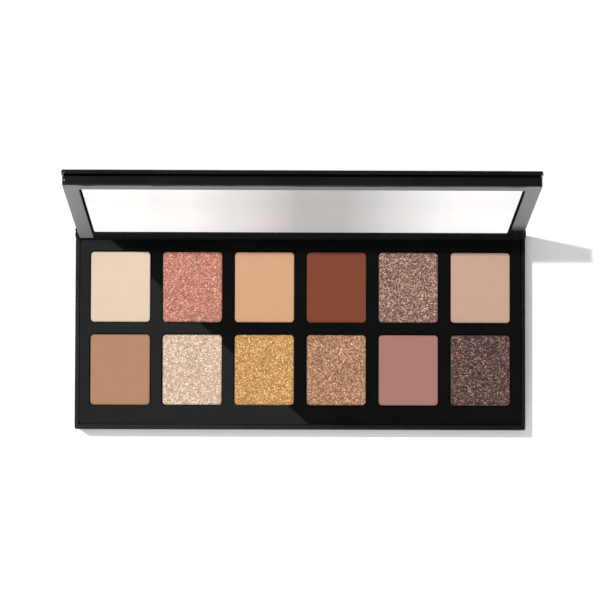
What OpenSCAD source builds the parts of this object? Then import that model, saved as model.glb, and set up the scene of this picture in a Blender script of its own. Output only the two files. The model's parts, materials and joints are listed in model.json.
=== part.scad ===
// Pressed powder palette: twelve pans in a slim case with a hinged mirror lid.
// The origin is the centre of the base's underside. +X runs to the right,
// +Y towards the hinge and +Z up. Every lid part is drawn shut, then turned
// about the hinge axis to its open stop, where its end rests on the base.

/* [Base] */
// Width of the base
base_w = 172; // [166:1:190]
// Depth of the base, front to back
base_d = 76.8; // [76:0.2:84]
// Height of the base up to its rim
base_h = 12.4; // [10:0.1:14]
// Width of the rim along each side
rim_side = 1.55; // [1.4:0.05:2]
// Width of the rim along the front
rim_front = 1.9; // [1.6:0.1:2.2]
// Thickness of the walls below the rear ledge
rear_wall = 1.7; // [1.4:0.1:2]
// Thickness of the base's floor
floor_t = 1.4; // [1:0.1:2]
// Radius of the corners in plan
corner_r = 1; // [0.5:0.1:1.4]
// Rounding of the rim's outer edge
edge_r = 0.6; // [0.3:0.1:0.8]
// Bevel around the underside
foot_bevel = 0.6; // [0.2:0.1:1]

/* [Tray and pans] */
// Columns of pans
pan_cols = 6; // [2:1:6]
// Rows of pans
pan_rows = 2; // [1:1:2]
// Distance between columns
pitch_x = 27.52; // [26.5:0.02:27.6]
// Distance between rows
pitch_y = 31.62; // [30.5:0.02:31.8]
// Distance of the pan grid's centre behind the base's centre
grid_y = 0.2; // [-0.4:0.1:0.4]
// Width of one pan
pan_w = 22.7; // [20:0.1:23]
// Depth of one pan, front to back
pan_d = 26.9; // [24:0.1:27.2]
// Height of a pan's side
pan_h = 3.5; // [3:0.1:3.6]
// Thickness of a pan's sheet metal
pan_sheet = 0.35; // [0.25:0.05:0.5]
// Radius of a pan's corners
pan_r = 1.5; // [1:0.1:2.5]
// Gap between a pan and its well
well_gap = 0.4; // [0.2:0.05:0.5]
// Step down from the rim to the tray
tray_drop = 0.7; // [0.5:0.1:1]
// Thickness of the tray's plate
tray_t = 1.2; // [1:0.1:1.4]
// Distance of a pan's edge below the tray's surface
pan_drop = 0.55; // [0.3:0.05:0.8]
// Height of the powder above the pan's edge
powder_crown = 0.2; // [0:0.05:0.3]

/* [Lid] */
// Width of the lid's inner frame
frame_w = 169; // [163:0.5:169]
// Width of the lid's outer cover
cover_w = 169.8; // [164:0.2:169.8]
// Thickness of the inner frame
frame_t = 4.2; // [3.8:0.1:4.4]
// Thickness of the outer cover
cover_t = 1.5; // [1.2:0.1:2]
// Height of the shadow groove between frame and cover
groove_h = 0.85; // [0.5:0.05:0.9]
// Depth of the shadow groove
groove_d = 0.6; // [0.3:0.1:0.8]
// Width of the mirror
mirror_w = 156.2; // [150:0.2:157]
// Height of the mirror
mirror_l = 59.9; // [55:0.1:60.5]
// Distance from the hinge axis to the mirror's near edge
mirror_s = 8; // [7.5:0.1:9]
// Thickness of the mirror glass
mirror_t = 1.2; // [1:0.1:1.3]
// Gap between the mirror and its seat
mirror_gap = 0.65; // [0.3:0.05:0.7]

/* [Hinge] */
// Angle between the shut and the open lid
open_angle = 100.5; // [95:0.5:105]
// Distance from the front edge to the hinge axis
hinge_run = 74.8; // [74.8:0.1:75]
// Height of the hinge axis above the lid's inner face when shut
barrel_r = 1.9; // [1.9:0.05:1.95]
// Radius of the hinge pins
pin_r = 0.7; // [0.5:0.05:0.8]
// Length of a hinge pin
pin_l = 9.7; // [7:0.1:12]
// Radial clearance of a pin in the lid frame
pin_play = 0.05; // [0.03:0.01:0.1]
// Radius of the ears that hold the pins
ear_r = 1.85; // [1.6:0.05:1.85]
// Thickness of an ear
ear_t = 1.15; // [1:0.05:1.2]

/* [Magnets] */
// Length of a magnet bar
magnet_l = 10; // [6:1:14]
// Width of a magnet bar
magnet_w = 3; // [2:0.1:3]
// Thickness of a magnet bar
magnet_t = 2; // [1:0.1:2]
// Distance of each magnet from the middle
magnet_x = 41.3; // [38:0.1:44]

/* [Hidden] */
$fn = 48;
tiny = 0.01;
// How far a cut runs past the surface it opens
past = 1;
pan_count = pan_cols * pan_rows;
pan_ids = [for (i = [1 : pan_count]) i];

black_plastic = "#1a1a1c";
tray_plastic = "#242426";
// Rear row from left to right, then the front row
shades = [
    "#ead4bd", "#c88977", "#dcaa86", "#854833", "#957568", "#cda896",
    "#bb8e6e", "#dec0a8", "#cf9e68", "#b18568", "#af7f75", "#644c48"];

front_y = -base_d / 2;
rear_y = base_d / 2;
rim_gap = 0.1;
lid_z = base_h + rim_gap;
hinge_y = front_y + hinge_run;
hinge_z = lid_z + barrel_r;

tray_top = base_h - tray_drop;
tray_play = 0.2;
tray_front = front_y + rim_front + tray_play;
lid_room = 2.5;
tray_rear = hinge_y - lid_room;
ledge_front = tray_rear + tray_play;
ledge_t = 2.3;
tray_w = base_w - 2 * (rim_side + tray_play);

well_w = pan_w + 2 * well_gap;
well_d = pan_d + 2 * well_gap;
well_r = pan_r + well_gap;
well_wall = 0.8;
pad_t = 0.3;
pad_inset = 3;
pad_r = 1;
pan_top = tray_top - pan_drop;
pan_bottom = pan_top - pan_h;
well_floor = pan_bottom - pad_t;

rib_t = 1.2;
rib_play = 0.05;
rib_setback = 2;
magnet_play = 0.1;
magnet_s = 70.8;
magnet_y = hinge_y - magnet_s;
boss_wall = 1.4;
boss_front = 1;

frame_front = front_y + 0.4;
heel = barrel_r;
frame_r = 1.2;
bezel_r = 0.5;
seat_depth = 1.95;
mirror_drop = 0.25;
mirror_r = 0.8;
land_floor = 2.9;
land_wall = 1.8;
land_play = 0.1;
land_r = 1;
land_rear = hinge_y - 3.2;
cover_r = 1.5;
cover_edge_r = 0.6;
stop_play = 0.05;
ear_back = 1.4;
ear_inset = 0.15;
ear_root = 2;
pin_inset = 0.25;
bore_end = 0.4;

// A rectangle with round corners, centred on the origin
module round_rect(w, d, r) {
    square([w - 2 * r, d], center = true);
    square([w, d - 2 * r], center = true);
    for (x = [-1, 1], y = [-1, 1])
        translate([x * (w / 2 - r), y * (d / 2 - r)]) circle(r = r);
}

// An upright block with round corners in plan
module round_block(w, y0, y1, z0, z1, r) {
    translate([0, (y0 + y1) / 2, z0])
        linear_extrude(z1 - z0) round_rect(w, y1 - y0, r);
}

module block(w, y0, y1, z0, z1) {
    translate([-w / 2, y0, z0]) cube([w, y1 - y0, z1 - z0]);
}

// A side profile in Y and Z, run across a width
module across(w) {
    rotate([90, 0, 90]) linear_extrude(w, center = true) children();
}

// A front profile in X and Z, run from front to back
module along(y0, y1) {
    translate([0, y1, 0]) rotate([90, 0, 0]) linear_extrude(y1 - y0) children();
}

// A rectangle that stands on the X axis, with its upper corners rounded
module crowned(x0, x1, z0, z1, r) {
    translate([x0, z0]) square([x1 - x0, z1 - z0 - r]);
    translate([x0 + r, z0]) square([x1 - x0 - 2 * r, z1 - z0]);
    for (x = [x0 + r, x1 - r]) translate([x, z1 - r]) circle(r = r);
}

// Points along an arc about (x, y)
function arc(x, y, r, a0, a1, steps = 6) =
    [for (k = [0 : steps]) let (a = a0 + (a1 - a0) * k / steps) [x + r * cos(a), y + r * sin(a)]];

function pan_col(i) = (i - 1) % pan_cols;
function pan_row(i) = floor((i - 1) / pan_cols);
function pan_x(i) = (pan_col(i) - (pan_cols - 1) / 2) * pitch_x;
function pan_y(i) = grid_y + ((pan_rows - 1) / 2 - pan_row(i)) * pitch_y;

module at_pan(i) {
    translate([pan_x(i), pan_y(i), 0]) children();
}

module at_magnets() {
    for (x = [-1, 1]) translate([x * magnet_x, magnet_y, 0]) children();
}

// Turns a shut lid part to the open stop
module opened() {
    translate([0, hinge_y, hinge_z]) rotate([-open_angle, 0, 0])
        translate([0, -hinge_y, -hinge_z]) children();
}

module hinge_rod(x0, x1, r) {
    translate([x0, hinge_y, hinge_z]) rotate([0, 90, 0]) cylinder(h = x1 - x0, r = r);
}

module base_outline() {
    intersection() {
        round_block(base_w, front_y, rear_y, 0, base_h, corner_r);
        along(front_y, rear_y) difference() {
            crowned(-base_w / 2, base_w / 2, 0, base_h, edge_r);
            for (x = [-1, 1]) translate([x * base_w / 2, 0])
                rotate(45) square(foot_bevel * sqrt(2), center = true);
        }
        across(base_w) difference() {
            crowned(front_y, rear_y, 0, base_h, edge_r);
            for (y = [front_y, rear_y]) translate([y, 0])
                rotate(45) square(foot_bevel * sqrt(2), center = true);
        }
    }
}

// The space above the sloping seat on which the open lid's end comes to rest
module stop_cut() {
    reach = 20;
    opened() translate([-base_w, hinge_y + heel + stop_play - reach, hinge_z - past])
        cube([2 * base_w, reach, reach]);
}

module ear(side) {
    x0 = side > 0 ? base_w / 2 - ear_inset - ear_t : -base_w / 2 + ear_inset;
    difference() {
        union() {
            hinge_rod(x0, x0 + ear_t, ear_r);
            translate([x0, hinge_y - ear_r, base_h - ear_root])
                cube([ear_t, ear_r + ear_back, hinge_z - base_h + ear_root]);
        }
        hinge_rod(x0 - past, x0 + ear_t + past, pin_r);
    }
}

module magnet_bar() {
    translate([-magnet_l / 2, -magnet_w / 2, 0]) cube([magnet_l, magnet_w, magnet_t]);
}

module magnet_pocket() {
    translate([-magnet_l / 2 - magnet_play, -magnet_w / 2 - magnet_play, 0])
        cube([magnet_l + 2 * magnet_play, magnet_w + 2 * magnet_play, magnet_t + past]);
}

module magnet_boss() {
    top = tray_top - tray_t - rib_play;
    difference() {
        translate([-magnet_l / 2 - boss_wall, -magnet_w / 2 - boss_front, floor_t - tiny])
            cube([magnet_l + 2 * boss_wall, magnet_w + boss_front + boss_wall, top - floor_t]);
        translate([0, 0, top - magnet_t - magnet_play]) magnet_pocket();
    }
}

module base_ribs() {
    plate_z = tray_top - tray_t - rib_play;
    well_z = well_floor - well_wall - rib_play;
    for (c = [1 : pan_cols - 1])
        translate([(c - pan_cols / 2) * pitch_x - rib_t / 2, front_y + rim_front - tiny, floor_t - tiny])
            cube([rib_t, rear_y - rear_wall - front_y - rim_front + 2 * tiny, well_z - floor_t]);
    for (c = [1 : pan_cols - 1])
        translate([(c - pan_cols / 2) * pitch_x - rib_t / 2, tray_front + rib_setback, floor_t - tiny])
            cube([rib_t, tray_rear - tray_front - 2 * rib_setback, plate_z - floor_t]);
    for (r = [1 : pan_rows])
        block(base_w - 2 * rim_side + tiny, pan_y(r * pan_cols) - rib_t / 2, pan_y(r * pan_cols) + rib_t / 2,
            floor_t - tiny, well_z);
}

module base_shell() {
    inner_w = base_w - 2 * rim_side;
    color(black_plastic) union() {
        difference() {
            base_outline();
            block(inner_w, front_y + rim_front, ledge_front, floor_t, base_h + past);
            block(inner_w, ledge_front - tiny, rear_y - rear_wall, floor_t, base_h - ledge_t);
            stop_cut();
        }
        base_ribs();
        at_magnets() magnet_boss();
        for (side = [-1, 1]) ear(side);
    }
}

module pan_tray() {
    color(tray_plastic) difference() {
        union() {
            round_block(tray_w, tray_front, tray_rear, tray_top - tray_t, tray_top, corner_r);
            for (i = pan_ids) at_pan(i)
                round_block(well_w + 2 * well_wall, -well_d / 2 - well_wall, well_d / 2 + well_wall,
                    well_floor - well_wall, tray_top - tray_t / 2, well_r + well_wall);
        }
        for (i = pan_ids) at_pan(i)
            round_block(well_w, -well_d / 2, well_d / 2, well_floor, tray_top + past, well_r);
    }
}

module pan_pads() {
    color("#d9d6cf") for (i = pan_ids) at_pan(i)
        round_block(pan_w - 2 * pad_inset, -pan_d / 2 + pad_inset, pan_d / 2 - pad_inset,
            well_floor, pan_bottom, pad_r);
}

module pan(i) {
    color("#b9bbbd") at_pan(i) difference() {
        round_block(pan_w, -pan_d / 2, pan_d / 2, pan_bottom, pan_top, pan_r);
        round_block(pan_w - 2 * pan_sheet, -pan_d / 2 + pan_sheet, pan_d / 2 - pan_sheet,
            pan_bottom + pan_sheet, pan_top + past, pan_r - pan_sheet);
    }
}

module powder(i) {
    color(shades[(i - 1) % len(shades)]) at_pan(i)
        round_block(pan_w - 2 * pan_sheet, -pan_d / 2 + pan_sheet, pan_d / 2 - pan_sheet,
            pan_bottom + pan_sheet, pan_top + powder_crown, pan_r - pan_sheet);
}

module base_magnets() {
    color("#8e9094") at_magnets()
        translate([0, 0, tray_top - tray_t - rib_play - magnet_play - magnet_t]) magnet_bar();
}

module lid_magnets() {
    color("#8e9094") opened() at_magnets()
        translate([0, 0, lid_z + land_floor - magnet_play - magnet_t]) magnet_bar();
}

module hinge_pin(side) {
    outer = base_w / 2 - pin_inset;
    color("#c3c5c8") if (side > 0) hinge_rod(outer - pin_l, outer, pin_r);
    else hinge_rod(-outer, -outer + pin_l, pin_r);
}

// The frame's section from front to back: a rounded front edge with the shadow
// groove above it, and a round barrel about the hinge axis
module frame_section() {
    polygon(concat(
        arc(frame_front + bezel_r, lid_z + bezel_r, bezel_r, 180, 270),
        arc(hinge_y, hinge_z, barrel_r, -90, 0),
        [[hinge_y + heel, lid_z + frame_t],
         [frame_front + groove_d, lid_z + frame_t],
         [frame_front + groove_d, lid_z + frame_t - groove_h],
         [frame_front, lid_z + frame_t - groove_h]]));
}

// The same from side to side
module frame_cross_section() {
    half = frame_w / 2;
    polygon(concat(
        arc(-half + bezel_r, lid_z + bezel_r, bezel_r, 180, 270),
        arc(half - bezel_r, lid_z + bezel_r, bezel_r, 270, 360),
        [[half, lid_z + frame_t - groove_h],
         [half - groove_d, lid_z + frame_t - groove_h],
         [half - groove_d, lid_z + frame_t],
         [groove_d - half, lid_z + frame_t],
         [groove_d - half, lid_z + frame_t - groove_h],
         [-half, lid_z + frame_t - groove_h]]));
}

module frame_block() {
    intersection() {
        round_block(frame_w, frame_front, hinge_y + heel, lid_z - past, lid_z + frame_t + past, frame_r);
        along(frame_front, hinge_y + heel) frame_cross_section();
        across(frame_w) frame_section();
    }
}

module lid_frame() {
    seat_front = hinge_y - mirror_s - mirror_l - mirror_gap;
    seat_rear = hinge_y - mirror_s + mirror_gap;
    bore_r = pin_r + pin_play;
    bore_in = base_w / 2 - pin_inset - pin_l - bore_end;
    color(black_plastic) opened() difference() {
        frame_block();
        round_block(mirror_w + 2 * mirror_gap, seat_front, seat_rear, lid_z - past,
            lid_z + seat_depth, mirror_r + mirror_gap);
        round_block(frame_w - 2 * (land_wall + groove_d), frame_front + land_wall, land_rear,
            lid_z + land_floor, lid_z + frame_t + past, land_r);
        at_magnets() translate([0, 0, lid_z + land_floor - magnet_t - 2 * magnet_play]) magnet_pocket();
        hinge_rod(bore_in, base_w, bore_r);
        hinge_rod(-base_w, -bore_in, bore_r);
    }
}

module lid_cover() {
    z0 = lid_z + frame_t;
    color(black_plastic) opened() union() {
        intersection() {
            round_block(cover_w, front_y, hinge_y + heel, z0, z0 + cover_t, cover_r);
            along(front_y, hinge_y + heel)
                crowned(-cover_w / 2, cover_w / 2, z0, z0 + cover_t, cover_edge_r);
            across(cover_w) crowned(front_y, hinge_y + heel, z0, z0 + cover_t, cover_edge_r);
        }
        round_block(frame_w - 2 * (land_wall + groove_d + land_play), frame_front + land_wall + land_play,
            land_rear - land_play, lid_z + land_floor + rib_play, z0 + tiny, land_r);
    }
}

module mirror_glass() {
    color("#dfe3e6") opened()
        round_block(mirror_w, hinge_y - mirror_s - mirror_l, hinge_y - mirror_s,
            lid_z + mirror_drop, lid_z + mirror_drop + mirror_t, mirror_r);
}

module mirror_pad() {
    color("#e9e7e1") opened()
        round_block(mirror_w - 2 * pad_inset, hinge_y - mirror_s - mirror_l + pad_inset,
            hinge_y - mirror_s - pad_inset, lid_z + mirror_drop + mirror_t, lid_z + seat_depth, pad_r);
}

base_shell();
pan_tray();
pan_pads();
base_magnets();
hinge_pin(-1);  // hinge_pin_left
hinge_pin(1);  // hinge_pin_right
for (i = pan_ids) pan(i);
for (i = pan_ids) powder(i);
lid_frame();
lid_cover();
mirror_glass();  // mirror
mirror_pad();
lid_magnets();
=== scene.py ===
import json
import math
import random

import bmesh
import bpy
from mathutils import Euler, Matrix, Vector


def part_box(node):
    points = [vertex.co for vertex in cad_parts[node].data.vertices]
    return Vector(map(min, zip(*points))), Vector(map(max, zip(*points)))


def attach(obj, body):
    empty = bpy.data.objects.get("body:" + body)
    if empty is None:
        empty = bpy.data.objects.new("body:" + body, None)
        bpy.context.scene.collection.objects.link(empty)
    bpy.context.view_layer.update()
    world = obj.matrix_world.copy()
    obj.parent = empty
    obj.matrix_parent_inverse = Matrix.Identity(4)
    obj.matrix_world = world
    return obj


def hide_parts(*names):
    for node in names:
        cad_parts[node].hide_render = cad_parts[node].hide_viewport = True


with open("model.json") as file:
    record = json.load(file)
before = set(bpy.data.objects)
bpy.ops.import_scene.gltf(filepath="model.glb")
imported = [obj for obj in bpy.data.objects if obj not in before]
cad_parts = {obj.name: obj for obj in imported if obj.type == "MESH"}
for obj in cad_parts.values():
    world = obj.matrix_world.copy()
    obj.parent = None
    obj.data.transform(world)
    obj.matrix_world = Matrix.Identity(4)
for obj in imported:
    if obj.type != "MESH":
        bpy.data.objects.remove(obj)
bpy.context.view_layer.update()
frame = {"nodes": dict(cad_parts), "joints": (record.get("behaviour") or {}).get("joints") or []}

MM = 0.001
NODES = frame["nodes"]
PANS = 12

# -------------------------------------------------------- camera and studio

CAMERA_AT = (-0.00698, -0.02694, 0.91868)
CAMERA_TURN = (0.04196, -0.00762, 0.00297)
LENS, SENSOR = 142.48, 36
CLIP_NEAR, CLIP_FAR = 0.05, 20

# The key light is a sun from the rear left
KEY = 2.8
KEY_FROM = (-0.674, 0.5, 2.0)
KEY_ANGLE = math.radians(1.5)
# The fill is low in front, and the overhead light is a soft square. Neither shows in gloss.
FILL = 16.3
FILL_AT = (0, -1.45, 0.55)
FILL_SIZE = (1.0, 0.6)
OVERHEAD = 4.0
OVERHEAD_AT = (0, -0.03, 1.1)
OVERHEAD_SIZE = 0.4
# The panel faces down. One of its edges passes over the camera along PANEL_EDGE, and it lies
# on the PANEL_INWARD side of that edge.
PANEL = 0.46
PANEL_Z = 0.95
PANEL_SIZE = (0.7, 0.42)
PANEL_EDGE = Vector((0.732, -0.681, 0))
PANEL_INWARD = Vector((-0.681, -0.732, 0))

# Grey of the surroundings by height: bright towards the horizon, dim overhead
WORLD_STRENGTH = 0.7
SKY = ((0.0, 0.75), (0.35, 0.5), (0.75, 0.05), (1.0, 0.03))

FLOOR_HALF = 10.0
FLOOR_PARTS = 24
FLOOR_CLOUD = 0.4
FLOOR_TONES = ((0.3, 0.9), (0.7, 0.92))

# -------------------------------------------------------------------- looks

# Noise gathers round 0.5: these values of it are taken as its darkest and lightest
NOISE_LOW, NOISE_HIGH = 0.3, 0.7

# Black plastic: tone, roughness, how far both wander (as shares), and its skin texture
CASE_TONE, CASE_ROUGH = 0.006, 0.14
TRAY_TONE, TRAY_ROUGH = 0.0035, 0.015
CASE_RELIEF, TRAY_RELIEF = 0.1, 0.004
TONE_SWING, ROUGH_SWING = 0.15, 0.08
PLASTIC_IOR = 1.48
MOTTLE = 12 * MM
SKIN_GRAIN, SKIN_DEPTH = 0.06 * MM, 0.01 * MM
# Over these glancing angles, where it is seen almost edge on, its gloss gives way to dull black:
# painted shade
EDGE_ON_PAINTED_SHADE = (0.7, 0.93)

# The frame's painted sheen, a grey painted reflection: its tone, the glancing angles over which it
# comes in, and the depth below the inner face over which it ends
BEZEL_PAINTED_SHEEN = 0.158
BEZEL_GLANCE = (0.4, 0.65)
BEZEL_SKIN = (0.12 * MM, 0.03 * MM)
# On the side rails it starts this far outside the mirror
BEZEL_LIP = (0.85 * MM, 1.0 * MM)
# On the right rail it comes in between these distances from the hinge
BEZEL_FADE = (12 * MM, 22.5 * MM)
# It covers the top rail from BEZEL_TOP on, and ends at BEZEL_RIM
BEZEL_TOP = (68.2 * MM, 68.3 * MM)
BEZEL_RIM = (73.3 * MM, 73.1 * MM)
# The frame's shadow groove lies this deep behind the inner face; it is painted dull black, a
# painted shade
GROOVE_DEPTH = (3.15 * MM, 3.25 * MM)
GROOVE_PAINTED_SHADE = 0.001

# The mirror: its silver, its smudges, and the angles and share of its painted reflection, a soft
# white
SILVER = (0.9, 0.91, 0.92, 1)
SMUDGE = 20 * MM
SMUDGE_ROUGH = (0.015, 0.035)
MIRROR_PAINT_GLANCE = (0.35, 0.65)
MIRROR_PAINT_SHARE = 0.95
# Grey of the painted reflection along the mirror, from MIRROR_HALF left of the middle to
# MIRROR_HALF right of it
MIRROR_HALF = 85 * MM
MIRROR_PAINTED_BAND = (
    (0.0, 1.0),
    (0.26, 1.0),
    (0.39, 0.75),
    (0.49, 0.535),
    (0.59, 0.535),
    (0.7, 0.77),
    (0.8, 1.0),
)
# The painted reflection's grey from the hinge up to MIRROR_RISE: a little darker towards the lid's
# free edge
MIRROR_RISE = 70 * MM
MIRROR_PAINTED_LIFT = ((0.14, 1.0), (0.72, 0.8))

# Metals: colour, roughness, and how far their drawn lines stretch along X, Y and Z
# The pans' metal is painted almost black: painted shade, so that its thin rim reads as the dark
# gap round each powder
PAN_METAL_PAINTED_DARK = ((0.06, 0.05, 0.045), 0.5, (8, 1, 1))
PIN_STEEL = ((0.62, 0.62, 0.63), 0.25, (10, 1, 1))
MAGNET = ((0.5, 0.5, 0.52), 0.3, (1, 1, 1))
LINE_SIZE, LINE_DEPTH = 0.1 * MM, 0.01 * MM
LINE_SWING, LINE_RELIEF = 0.2, 0.1

ADHESIVE = (0.7, 0.68, 0.64)
ADHESIVE_ROUGH = 0.8
FOAM_CELL, FOAM_DEPTH = 0.3 * MM, 0.03 * MM
FOAM_SHADE, FOAM_RELIEF = 0.85, 0.3

# Matte powder: the size and height of its dry tooth, the size of its soft clouds, how dark
# both go, and where the clouds' noise is taken as dark and light
TOOTH, TOOTH_DEPTH, TOOTH_RELIEF = 0.25 * MM, 0.02 * MM, 0.35
CLOUD = 6 * MM
CLOUD_SHADE, TOOTH_SHADE = 0.975, 0.95
CLOUD_LOW, CLOUD_HIGH = 0.35, 0.65
MATTE_ROUGH, MATTE_SPECULAR = 0.85, 0.15

# Shimmer powder: the size and tilt of its flakes, and their range of roughness
FLAKE, FLAKE_DEPTH, FLAKE_TILT = 0.34 * MM, 0.06 * MM, 0.5
FLAKE_ROUGH = (0.35, 0.7)
FLAKE_METAL, FLAKE_SPECULAR = 0.1, 0.2
# By how many times its contrast a light flake and a bright spark, a painted glint, are lifted,
# how far a spark goes to white, and the share of its flakes that are no brighter than a light one
LIGHT_LIFT, PAINTED_GLINT_LIFT, PAINTED_GLINT_WHITE = 1.3, 3.4, 0.12
LIGHT_SHARE = 0.84

# Each powder: its slot, its colour as seen under the studio light, and its shimmer's
# contrast (None for a matte powder). Rear row from the left, then front row.
SHADES = [
    ("powder_ivory", "ecd5be", None),
    ("powder_pink_shimmer", "c78571", 0.47),
    ("powder_peach", "dcaa86", None),
    ("powder_russet", "854833", None),
    ("powder_taupe_shimmer", "916f61", 0.86),
    ("powder_rose_beige", "cda896", None),
    ("powder_tan", "bb8e6e", None),
    ("powder_champagne_shimmer", "e3c5ac", 0.36),
    ("powder_gold_shimmer", "d3a063", 0.46),
    ("powder_bronze_shimmer", "b28464", 0.6),
    ("powder_mauve", "af7f75", None),
    ("powder_cocoa_shimmer", "5b403b", 1.0),
]
MATTE_GAIN = 0.64
SHIMMER_GAIN = 0.53

# ------------------------------------------------------------------- shapes

# How far the hard pieces' edges are rounded
CASE_EDGE = 0.18 * MM
TRAY_EDGE = 0.15 * MM
FRAME_EDGE = 0.15 * MM
COVER_EDGE = 0.18 * MM
MIRROR_EDGE = 0.2 * MM
EDGE_SEGMENTS = 3
# Corners this close are one
WELD = 0.001 * MM
# Angles between faces: up to FLAT_ANGLE they become one face, above SHARP_ANGLE their edge is
# rounded, and above CREASE_ANGLE (CAKE_CREASE on a powder) they aren't shaded as one
FLAT_ANGLE = math.radians(0.5)
SHARP_ANGLE = math.radians(28)
CREASE_ANGLE = math.radians(40)
CAKE_CREASE = math.radians(60)

# A powder cake: how far its lip lies inside the pan's outline and above its edge, its play
# inside the pan, its corners, its soft edge and its mesh
LIP_INSET = 0.1 * MM
LIP_CLEARANCE = 0.015 * MM
SIDE_PLAY = 0.02 * MM
CAKE_CORNER = 1.2 * MM
EDGE_ROUND = 0.55 * MM
GRID_STEP = 0.26 * MM
# The height of its relief, and how far its edge wanders
MATTE_GRAIN, MATTE_RAGGED = 0.004 * MM, 0.015 * MM
SHIMMER_GRAIN, SHIMMER_RAGGED = 0.03 * MM, 0.09 * MM

# Directions on the open lid: up its inner face, and out of that face. Its hinge axis is
# where the pins are, and the inner face starts one barrel radius in front of it.
BARREL_RADIUS = 1.9 * MM
PIN_LOW, PIN_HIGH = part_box("hinge_pin_left")
HINGE = Vector((0, (PIN_LOW.y + PIN_HIGH.y) / 2, (PIN_LOW.z + PIN_HIGH.z) / 2))
LEAN = math.radians(frame["joints"][0]["range_deg"][1] - 90)
ACROSS = Vector((1, 0, 0))
LID_UP = Vector((0, math.sin(LEAN), math.cos(LEAN)))
LID_OUT = Vector((0, -math.cos(LEAN), math.sin(LEAN)))
INNER_FACE = HINGE + LID_OUT * BARREL_RADIUS

# ----------------------------------------------------------- material nodes


def new_material(name):
    """A material with one Principled node, as (material, node tree, Principled node)."""
    mat = bpy.data.materials.new(name)
    mat.use_nodes = True
    tree = mat.node_tree
    return mat, tree, tree.nodes["Principled BSDF"]


def put(shader, **values):
    """Sets sockets of a shader by name, with _ for a space."""
    for name, value in values.items():
        shader.inputs[name.replace("_", " ")].default_value = value


def object_coords(tree):
    return tree.nodes.new("ShaderNodeTexCoord").outputs["Object"]


def noise_of(tree, size, detail=3.0, roughness=0.5, lengths=(1, 1, 1)):
    """Noise with features of about size metres, stretched by lengths along X, Y and Z."""
    mapping = tree.nodes.new("ShaderNodeMapping")
    mapping.inputs["Scale"].default_value = [1 / k for k in lengths]
    tex = tree.nodes.new("ShaderNodeTexNoise")
    tex.inputs["Scale"].default_value = 1 / size
    tex.inputs["Detail"].default_value = detail
    tex.inputs["Roughness"].default_value = roughness
    tree.links.new(object_coords(tree), mapping.inputs["Vector"])
    tree.links.new(mapping.outputs["Vector"], tex.inputs["Vector"])
    return tex.outputs["Fac"]


def ramp_of(tree, value, stops):
    """A colour ramp with (position, colour) stops."""
    ramp = tree.nodes.new("ShaderNodeValToRGB")
    elements = ramp.color_ramp.elements
    while len(elements) < len(stops):
        elements.new(0.5)
    for element, (place, colour) in zip(elements, stops):
        element.position = place
        element.color = colour if len(colour) == 4 else (*colour, 1)
    tree.links.new(value, ramp.inputs["Fac"])
    return ramp.outputs["Color"]


def grey(level):
    return (level, level, level, 1)


def grey_ramp(tree, value, stops):
    """A colour ramp with (position, grey level) stops."""
    return ramp_of(tree, value, [(place, grey(level)) for place, level in stops])


def scaled(colour, factor):
    return tuple(c * factor for c in colour)


def shade_ramp(tree, noise, colour, shade, low=NOISE_LOW, high=NOISE_HIGH):
    """A colour that noise darkens, down to shade times itself."""
    return ramp_of(tree, noise, [(low, scaled(colour, shade)), (high, colour)])


def remap(tree, value, low, high, to_low=0, to_high=1):
    node = tree.nodes.new("ShaderNodeMapRange")
    for name, x in zip(("From Min", "From Max", "To Min", "To Max"), (low, high, to_low, to_high)):
        node.inputs[name].default_value = x
    tree.links.new(value, node.inputs["Value"])
    return node.outputs["Result"]


def around(tree, noise, middle, swing):
    """A value that noise moves about middle, by the share swing of it each way."""
    return remap(tree, noise, NOISE_LOW, NOISE_HIGH, middle * (1 - swing), middle * (1 + swing))


def bump(tree, shader, height, strength, distance):
    node = tree.nodes.new("ShaderNodeBump")
    node.inputs["Strength"].default_value = strength
    node.inputs["Distance"].default_value = distance
    tree.links.new(height, node.inputs["Height"])
    tree.links.new(node.outputs["Normal"], shader.inputs["Normal"])


def tinted(tree, colour, tint):
    """One colour multiplied by another."""
    mix = tree.nodes.new("ShaderNodeMix")
    mix.data_type, mix.blend_type = "RGBA", "MULTIPLY"
    mix.inputs["Factor"].default_value = 1
    tree.links.new(colour, mix.inputs["A"])
    tree.links.new(tint, mix.inputs["B"])
    return mix.outputs["Result"]


def along(tree, direction):
    """How far a point of the object lies along a direction, in metres."""
    node = tree.nodes.new("ShaderNodeVectorMath")
    node.operation = "DOT_PRODUCT"
    node.inputs[1].default_value = direction
    tree.links.new(object_coords(tree), node.inputs[0])
    return node.outputs["Value"]


def of_two(tree, operation, a, b):
    node = tree.nodes.new("ShaderNodeMath")
    node.operation = operation
    tree.links.new(a, node.inputs[0])
    tree.links.new(b, node.inputs[1])
    return node.outputs["Value"]


def times(tree, a, b):
    return of_two(tree, "MULTIPLY", a, b)


def larger(tree, a, b):
    return of_two(tree, "MAXIMUM", a, b)


def glancing(tree, start, end, top=1.0):
    """0 where the surface is seen steeply, rising to top where it is seen at a glancing angle."""
    angle = tree.nodes.new("ShaderNodeLayerWeight")
    angle.inputs["Blend"].default_value = 0.5
    return remap(tree, angle.outputs["Facing"], start, end, 0.0, top)


def lay_over(tree, painted_veil, share):
    """Shows the veil over what the material shows so far, by a share from 0 to 1."""
    output = tree.nodes["Material Output"].inputs["Surface"]
    below = output.links[0].from_socket
    mix = tree.nodes.new("ShaderNodeMixShader")
    tree.links.new(share, mix.inputs["Fac"])
    tree.links.new(below, mix.inputs[1])
    tree.links.new(painted_veil.outputs["BSDF"], mix.inputs[2])
    tree.links.new(mix.outputs["Shader"], output)


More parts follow.
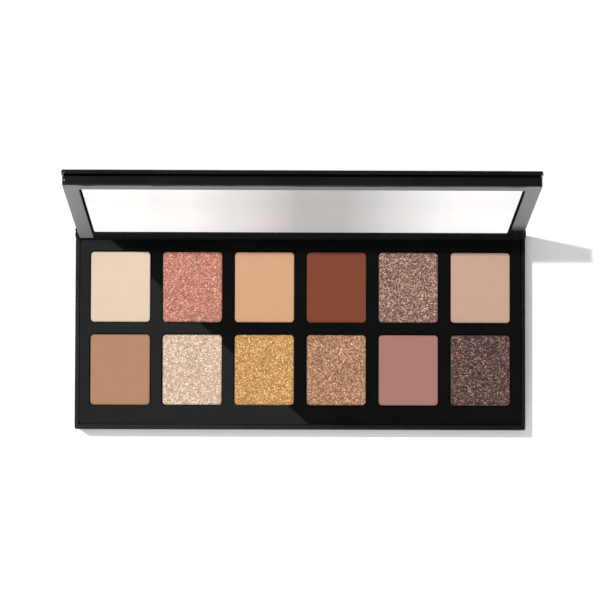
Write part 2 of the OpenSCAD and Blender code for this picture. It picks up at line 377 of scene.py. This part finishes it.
def painted_shade_black(tree, tone):
    """Black without any gloss, laid over as painted shade."""
    dull = tree.nodes.new("ShaderNodeBsdfPrincipled")
    put(dull, Base_Color=grey(tone), Roughness=0.9, Specular_IOR_Level=0.0)
    return dull


def painted_light_veil(tree):
    """A soft surface with a weak gloss, whose colour is still to be set: the ground of a painted
    sheen or painted reflection.
    """
    painted_veil = tree.nodes.new("ShaderNodeBsdfPrincipled")
    put(painted_veil, Roughness=0.5, Specular_IOR_Level=0.2)
    return painted_veil


# ---------------------------------------------------------------- materials


def moulded_black(name, tone, rough, relief=CASE_RELIEF):
    """Black moulded plastic: a faint mottle in colour and gloss, a fine skin texture, and painted
    shade in place of its gloss where it is seen almost edge on.
    """
    mat, tree, shader = new_material(name)
    mottle = noise_of(tree, MOTTLE, 4)
    tones = ((NOISE_LOW, tone * (1 - TONE_SWING)), (NOISE_HIGH, tone * (1 + TONE_SWING)))
    tree.links.new(grey_ramp(tree, mottle, tones), shader.inputs["Base Color"])
    tree.links.new(around(tree, mottle, rough, ROUGH_SWING), shader.inputs["Roughness"])
    bump(tree, shader, noise_of(tree, SKIN_GRAIN, 2), relief, SKIN_DEPTH)
    put(shader, IOR=PLASTIC_IOR)
    # Painted shade: where it is seen almost edge on, dull black is laid over its gloss
    lay_over(tree, painted_shade_black(tree, tone), glancing(tree, *EDGE_ON_PAINTED_SHADE))
    return mat


def painted_sheen_rails(tree):
    """Which parts of the frame's inner face have the painted sheen: 1 on the left, top and right
    rails, where the right one's dies away towards the hinge, and 0 elsewhere."""
    low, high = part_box("mirror")
    foot = LID_UP.dot(INNER_FACE)
    side, up = along(tree, ACROSS), along(tree, LID_UP)
    left = remap(tree, side, low.x - BEZEL_LIP[0], low.x - BEZEL_LIP[1])
    right = remap(tree, side, high.x + BEZEL_LIP[0], high.x + BEZEL_LIP[1])
    fade = remap(tree, up, foot + BEZEL_FADE[0], foot + BEZEL_FADE[1])
    above = remap(tree, up, foot + BEZEL_TOP[0], foot + BEZEL_TOP[1])
    rim = remap(tree, up, foot + BEZEL_RIM[0], foot + BEZEL_RIM[1])
    rails = larger(tree, larger(tree, left, above), times(tree, fade, right))
    return times(tree, rails, rim)


def bezel_black(name):
    """The frame round the mirror: gloss black head on, a painted grey sheen (a painted reflection)
    on its inner face when seen at a glancing angle, and a groove behind it painted dull black as
    painted shade."""
    mat = moulded_black(name, CASE_TONE, CASE_ROUGH)
    tree = mat.node_tree
    # Painted sheen: a grey painted reflection on the rails, laid over at glancing angles
    painted_veil = painted_light_veil(tree)
    put(painted_veil, Base_Color=grey(BEZEL_PAINTED_SHEEN))
    face, out = LID_OUT.dot(INNER_FACE), along(tree, LID_OUT)
    on_face = remap(tree, out, face - BEZEL_SKIN[0], face - BEZEL_SKIN[1])
    painted_sheen = times(tree, painted_sheen_rails(tree), glancing(tree, *BEZEL_GLANCE))
    lay_over(tree, painted_veil, times(tree, on_face, painted_sheen))
    # Painted shade: the groove is laid over with dull black
    in_groove = remap(tree, out, face - GROOVE_DEPTH[0], face - GROOVE_DEPTH[1])
    lay_over(tree, painted_shade_black(tree, GROOVE_PAINTED_SHADE), in_groove)
    return mat


def brushed_metal(name, colour, rough, lengths):
    """Metal with fine drawn lines along one axis."""
    mat, tree, shader = new_material(name)
    lines = noise_of(tree, LINE_SIZE, 3, 0.6, lengths)
    tones = shade_ramp(tree, lines, colour, 1 - LINE_SWING)
    tree.links.new(tones, shader.inputs["Base Color"])
    tree.links.new(around(tree, lines, rough, LINE_SWING), shader.inputs["Roughness"])
    bump(tree, shader, lines, LINE_RELIEF, LINE_DEPTH)
    put(shader, Metallic=1.0)
    return mat


def foam_adhesive(name, colour):
    mat, tree, shader = new_material(name)
    cells = noise_of(tree, FOAM_CELL, 2)
    tree.links.new(shade_ramp(tree, cells, colour, FOAM_SHADE), shader.inputs["Base Color"])
    bump(tree, shader, cells, FOAM_RELIEF, FOAM_DEPTH)
    put(shader, Roughness=ADHESIVE_ROUGH)
    return mat


def mirror_glass(name):
    """Silvered glass. Seen steeply it mirrors; seen at a glancing angle a painted reflection
    covers it:
    soft white, with a wide painted grey band down the middle."""
    mat, tree, shader = new_material(name)
    put(shader, Base_Color=SILVER, Metallic=1.0)
    smudge = noise_of(tree, SMUDGE, 4)
    gloss = remap(tree, smudge, NOISE_LOW, NOISE_HIGH, *SMUDGE_ROUGH)
    tree.links.new(gloss, shader.inputs["Roughness"])
    foot = LID_UP.dot(HINGE)
    across = remap(tree, along(tree, ACROSS), -MIRROR_HALF, MIRROR_HALF)
    height = remap(tree, along(tree, LID_UP), foot, foot + MIRROR_RISE)
    # Painted reflection: a white with a grey band, laid over the mirror at glancing angles
    painted_band = grey_ramp(tree, across, MIRROR_PAINTED_BAND)
    painted_lift = grey_ramp(tree, height, MIRROR_PAINTED_LIFT)
    painted_veil = painted_light_veil(tree)
    tree.links.new(tinted(tree, painted_band, painted_lift), painted_veil.inputs["Base Color"])
    lay_over(tree, painted_veil, glancing(tree, *MIRROR_PAINT_GLANCE, MIRROR_PAINT_SHARE))
    return mat


def linear(channel):
    """An sRGB channel from 0 to 1 as linear light."""
    return channel / 12.92 if channel <= 0.04045 else ((channel + 0.055) / 1.055) ** 2.4


def to_linear(code, gain):
    """A colour code such as ead4bd as linear RGB, times gain."""
    return tuple(gain * linear(int(code[k : k + 2], 16) / 255) for k in (0, 2, 4))


def matte_powder(name, colour):
    """Pressed matte powder: an even tone with a fine, dry tooth."""
    mat, tree, shader = new_material(name)
    tooth = noise_of(tree, TOOTH, 4, 0.6)
    cloud = noise_of(tree, CLOUD, 3)
    tone = shade_ramp(tree, cloud, colour, CLOUD_SHADE, CLOUD_LOW, CLOUD_HIGH)
    speck = grey_ramp(tree, tooth, ((NOISE_LOW, TOOTH_SHADE), (NOISE_HIGH, 1.0)))
    tree.links.new(tinted(tree, tone, speck), shader.inputs["Base Color"])
    bump(tree, shader, tooth, TOOTH_RELIEF, TOOTH_DEPTH)
    put(shader, Roughness=MATTE_ROUGH, Specular_IOR_Level=MATTE_SPECULAR)
    return mat


def flake_tones(colour, contrast):
    """Ramp stops from a shimmer's darkest flake to its brightest spark, a painted glint."""
    white = PAINTED_GLINT_WHITE * contrast
    light = [min(1.0, c * (1 + LIGHT_LIFT * contrast)) for c in colour]
    # Painted glint: the brightest flakes are lifted towards white
    painted_glint = [min(1.0, c * (1 + PAINTED_GLINT_LIFT * contrast) + white) for c in colour]
    return [(0.0, scaled(colour, 1 - contrast)), (0.5, colour), (LIGHT_SHARE, light), (1.0, painted_glint)]


def shimmer_powder(name, colour, contrast):
    """Pressed shimmer powder: mica flakes, each with its own tone, light and dark side by side,
    the brightest painted as glints.
    """
    mat, tree, shader = new_material(name)
    cells = tree.nodes.new("ShaderNodeTexVoronoi")
    cells.inputs["Scale"].default_value = 1 / FLAKE
    tree.links.new(object_coords(tree), cells.inputs["Vector"])
    split = tree.nodes.new("ShaderNodeSeparateColor")
    tree.links.new(cells.outputs["Color"], split.inputs["Color"])
    tones = ramp_of(tree, split.outputs["Red"], flake_tones(colour, contrast))
    tree.links.new(tones, shader.inputs["Base Color"])
    gloss = remap(tree, split.outputs["Green"], 0, 1, *FLAKE_ROUGH)
    tree.links.new(gloss, shader.inputs["Roughness"])
    bump(tree, shader, split.outputs["Blue"], FLAKE_TILT, FLAKE_DEPTH)
    put(shader, Metallic=FLAKE_METAL, Specular_IOR_Level=FLAKE_SPECULAR)
    return mat


# ------------------------------------------------------------------- pieces


def link_mesh(name, bm):
    mesh = bpy.data.meshes.new(name)
    bm.to_mesh(mesh)
    bm.free()
    piece = bpy.data.objects.new(name, mesh)
    bpy.context.scene.collection.objects.link(piece)
    return piece


def settle(piece, body, slot, material, *nodes):
    """Hangs a finished piece on its body, in the place of the CAD nodes that it stands for."""
    piece.data.materials.append(material)
    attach(piece, body)
    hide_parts(*nodes)
    return piece


def softened(name, node, width):
    """A copy of a CAD node's shape with every sharp edge rounded over width."""
    bm = bmesh.new()
    bm.from_mesh(NODES[node].data)
    bmesh.ops.remove_doubles(bm, verts=bm.verts, dist=WELD)
    bmesh.ops.dissolve_limit(bm, angle_limit=FLAT_ANGLE, verts=bm.verts, edges=bm.edges)
    sharp = [e for e in bm.edges if len(e.link_faces) == 2 and e.calc_face_angle() > SHARP_ANGLE]
    bmesh.ops.bevel(
        bm,
        geom=sharp,
        offset=width,
        segments=EDGE_SEGMENTS,
        profile=0.5,
        affect="EDGES",
        clamp_overlap=True,
    )
    for face in bm.faces:
        face.smooth = True
    piece = link_mesh(name, bm)
    piece.data.set_sharp_from_angle(angle=CREASE_ANGLE)
    normals = piece.modifiers.new("normals", "WEIGHTED_NORMAL")
    normals.keep_sharp = True
    return piece


class Cake:
    """What a powder cake's form follows: its CAD box, and the half sizes and height of its
    lip, which lies on the pan's edge."""

    def __init__(self, index):
        self.low, self.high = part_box(f"powder_{index}")
        pan_low, pan_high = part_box(f"pan_{index}")
        self.centre = (self.low + self.high) / 2
        self.half_w = (pan_high.x - pan_low.x) / 2 - LIP_INSET
        self.half_d = (pan_high.y - pan_low.y) / 2 - LIP_INSET
        self.rim_z = pan_high.z + LIP_CLEARANCE

    def past_corner(self, x, y):
        """How far (x, y) lies beyond the centre of its corner's rounding, along X and Y."""
        return abs(x) - (self.half_w - CAKE_CORNER), abs(y) - (self.half_d - CAKE_CORNER)

    def edge_distance(self, x, y):
        """How far (x, y) lies inside the outline."""
        qx, qy = self.past_corner(x, y)
        outside = math.hypot(max(qx, 0), max(qy, 0)) + min(max(qx, qy), 0)
        return CAKE_CORNER - outside

    def onto_outline(self, x, y):
        """(x, y) drawn in to the round corner if it lies past it."""
        qx, qy = self.past_corner(x, y)
        far = math.hypot(qx, qy)
        if qx > 0 and qy > 0 and far > CAKE_CORNER:
            scale = CAKE_CORNER / far
            x = math.copysign(self.half_w - CAKE_CORNER + qx * scale, x)
            y = math.copysign(self.half_d - CAKE_CORNER + qy * scale, y)
        return x, y


def inward(step, place):
    """A step turned towards the cake's middle."""
    return -abs(step) * (place > 0) + abs(step) * (place < 0)


def cake_point(cake, across, back, rng, grain, ragged):
    """A point of the cake's top, where across and back run from -1 to 1."""
    x, y = cake.onto_outline(cake.half_w * across, cake.half_d * back)
    depth = cake.edge_distance(x, y)
    t = min(1.0, max(0.0, depth / EDGE_ROUND))
    inner = min(1.0, depth / (2 * EDGE_ROUND))
    z = cake.rim_z + (cake.high.z - cake.rim_z) * math.sqrt(1 - (1 - t) ** 2)
    z += rng.uniform(-1, 1) * grain * inner
    wander = ragged * (1 - inner)
    dx, dy = (rng.uniform(-1, 1) * wander for _ in range(2))
    if abs(across) == 1 or abs(back) == 1:
        dx, dy = inward(dx, x), inward(dy, y)
    return cake.centre.x + x + dx, cake.centre.y + y + dy, z


def cake_top(bm, cake, rng, grain, ragged):
    """Makes the cake's top, and returns its rim all the way round."""
    cols = round(2 * cake.half_w / GRID_STEP)
    rows = round(2 * cake.half_d / GRID_STEP)
    grid = []
    for j in range(rows + 1):
        places = [(2 * i / cols - 1, 2 * j / rows - 1) for i in range(cols + 1)]
        grid.append([bm.verts.new(cake_point(cake, *at, rng, grain, ragged)) for at in places])
    for j in range(rows):
        for i in range(cols):
            bm.faces.new((grid[j][i], grid[j][i + 1], grid[j + 1][i + 1], grid[j + 1][i]))
    return (
        grid[0]
        + [grid[j][cols] for j in range(1, rows + 1)]
        + [grid[rows][i] for i in range(cols - 1, -1, -1)]
        + [grid[j][0] for j in range(rows - 1, 0, -1)]
    )


def shrunk_ring(bm, rim, cake, z):
    """The rim drawn in to the pan's inside, at height z."""
    shrink_x = ((cake.high.x - cake.low.x) / 2 - SIDE_PLAY) / cake.half_w
    shrink_y = ((cake.high.y - cake.low.y) / 2 - SIDE_PLAY) / cake.half_d
    ring = []
    for v in rim:
        x = cake.centre.x + (v.co.x - cake.centre.x) * shrink_x
        y = cake.centre.y + (v.co.y - cake.centre.y) * shrink_y
        ring.append(bm.verts.new((x, y, z)))
    return ring


def close_below(bm, rim, cake):
    """Steps the cake in from its lip to the pan's inside, and closes it at the pan's floor."""
    rings = [rim] + [shrunk_ring(bm, rim, cake, z) for z in (cake.rim_z, cake.low.z + SIDE_PLAY)]
    count = len(rim)
    for upper, lower in zip(rings, rings[1:]):
        for k in range(count):
            n = (k + 1) % count
            bm.faces.new((upper[n], upper[k], lower[k], lower[n]))
    bm.faces.new(rings[-1][::-1])


def powder_cake(index, grain, ragged):
    """A pressed cake: a closed form whose top covers the pan's edge, softly rounded all round.
    grain is the height of its relief, and ragged how far its edge wanders, in metres."""
    cake = Cake(index)
    bm = bmesh.new()
    rim = cake_top(bm, cake, random.Random(index), grain, ragged)
    close_below(bm, rim, cake)
    for face in bm.faces:
        face.smooth = True
    piece = link_mesh(f"powder_cake_{index}", bm)
    piece.data.set_sharp_from_angle(angle=CAKE_CREASE)
    return piece


def make_powders():
    for number, (slot, code, contrast) in enumerate(SHADES, 1):
        if contrast:
            material = shimmer_powder(slot, to_linear(code, SHIMMER_GAIN), contrast)
            cake = powder_cake(number, SHIMMER_GRAIN, SHIMMER_RAGGED)
        else:
            material = matte_powder(slot, to_linear(code, MATTE_GAIN))
            cake = powder_cake(number, MATTE_GRAIN, MATTE_RAGGED)
        settle(cake, "base", slot, material, f"powder_{number}")


def make_case():
    """The hard pieces, each a softened copy of one CAD node."""
    case = moulded_black("case_black", CASE_TONE, CASE_ROUGH)
    tray = moulded_black("tray_black", TRAY_TONE, TRAY_ROUGH, TRAY_RELIEF)
    bezel = bezel_black("bezel_black")
    cover = moulded_black("cover_black", CASE_TONE, CASE_ROUGH)
    glass = mirror_glass("mirror_glass")
    pieces = (
        ("case_base", "base_shell", CASE_EDGE, "base", "case_black", case),
        ("well_plate", "pan_tray", TRAY_EDGE, "base", "tray_black", tray),
        ("mirror_frame", "lid_frame", FRAME_EDGE, "lid", "bezel_black", bezel),
        ("lid_shell", "lid_cover", COVER_EDGE, "lid", "cover_black", cover),
        ("mirror_plate", "mirror", MIRROR_EDGE, "lid", "mirror_glass", glass),
    )
    for name, node, width, body, slot, material in pieces:
        settle(softened(name, node, width), body, slot, material, node)


def finish_small_parts():
    """Materials for the CAD nodes that stay as they are."""
    # Painted shade: the pans' metal is coloured almost black
    pan_metal = brushed_metal("pan_metal", *PAN_METAL_PAINTED_DARK)
    steel = brushed_metal("pin_steel", *PIN_STEEL)
    magnet = brushed_metal("magnet", *MAGNET)
    adhesive = foam_adhesive("adhesive", ADHESIVE)
    finishes = {
        "hinge_pin_left": steel,
        "hinge_pin_right": steel,
        "base_magnets": magnet,
        "lid_magnets": magnet,
        "pan_pads": adhesive,
        "mirror_pad": adhesive,
    }
    finishes.update({f"pan_{k}": pan_metal for k in range(1, PANS + 1)})
    for node, material in finishes.items():
        for slot in NODES[node].material_slots:
            slot.material = material


# ------------------------------------------------------------------- studio


def make_floor():
    """A wide, flat, pale floor."""
    bm = bmesh.new()
    bmesh.ops.create_grid(bm, x_segments=FLOOR_PARTS, y_segments=FLOOR_PARTS, size=FLOOR_HALF)
    floor = link_mesh("floor", bm)
    mat, tree, shader = new_material("floor_white")
    tint = grey_ramp(tree, noise_of(tree, FLOOR_CLOUD, 2), FLOOR_TONES)
    tree.links.new(tint, shader.inputs["Base Color"])
    put(shader, Roughness=0.9, Specular_IOR_Level=0.1)
    floor.data.materials.append(mat)


def make_world():
    """Soft studio surroundings."""
    world = bpy.data.worlds.new("studio")
    bpy.context.scene.world = world
    world.use_nodes = True
    tree = world.node_tree
    back = tree.nodes["Background"]
    split = tree.nodes.new("ShaderNodeSeparateXYZ")
    coords = tree.nodes.new("ShaderNodeTexCoord")
    tree.links.new(coords.outputs["Generated"], split.inputs["Vector"])
    tree.links.new(grey_ramp(tree, split.outputs["Z"], SKY), back.inputs["Color"])
    back.inputs["Strength"].default_value = WORLD_STRENGTH


def make_light(name, kind, place, aim, energy, **settings):
    data = bpy.data.lights.new(name, kind)
    data.energy = energy
    for key, value in settings.items():
        setattr(data, key, value)
    light = bpy.data.objects.new(name, data)
    light.location = place
    light.rotation_mode = "QUATERNION"
    light.rotation_quaternion = (Vector(aim) - Vector(place)).to_track_quat("-Z", "Y")
    light.visible_camera = False
    bpy.context.scene.collection.objects.link(light)
    return light


def area_light(name, place, aim, energy, width, depth):
    sizes = {"shape": "RECTANGLE", "size": width, "size_y": depth}
    return make_light(name, "AREA", place, aim, energy, **sizes)


def make_panel():
    """A panel overhead, whose edge runs across the tray's reflection."""
    width, depth = PANEL_SIZE
    place = Vector((CAMERA_AT[0], CAMERA_AT[1], PANEL_Z)) + PANEL_INWARD * depth / 2
    below = place - Vector((0, 0, 1))
    panel = area_light("panel", place, below, PANEL * math.pi * width * depth, width, depth)
    panel.rotation_mode = "XYZ"
    panel.rotation_euler = Euler((0, 0, math.atan2(PANEL_EDGE.y, PANEL_EDGE.x)))


def make_lights():
    centre = Vector((0, 0, 0))
    make_light("key", "SUN", KEY_FROM, centre, KEY, angle=KEY_ANGLE)
    fill = area_light("fill", FILL_AT, centre, FILL, *FILL_SIZE)
    fill.visible_glossy = False
    square = {"shape": "SQUARE", "size": OVERHEAD_SIZE}
    overhead = make_light("overhead", "AREA", OVERHEAD_AT, centre, OVERHEAD, **square)
    overhead.visible_glossy = False
    make_panel()


def make_camera():
    data = bpy.data.cameras.new("camera")
    data.lens, data.sensor_width = LENS, SENSOR
    data.clip_start, data.clip_end = CLIP_NEAR, CLIP_FAR
    camera = bpy.data.objects.new("camera", data)
    camera.location = CAMERA_AT
    camera.rotation_euler = CAMERA_TURN
    bpy.context.scene.collection.objects.link(camera)
    bpy.context.scene.camera = camera


bpy.context.scene.view_settings.view_transform = "Standard"
make_camera()
make_floor()
make_world()
make_lights()
make_case()
make_powders()
finish_small_parts()
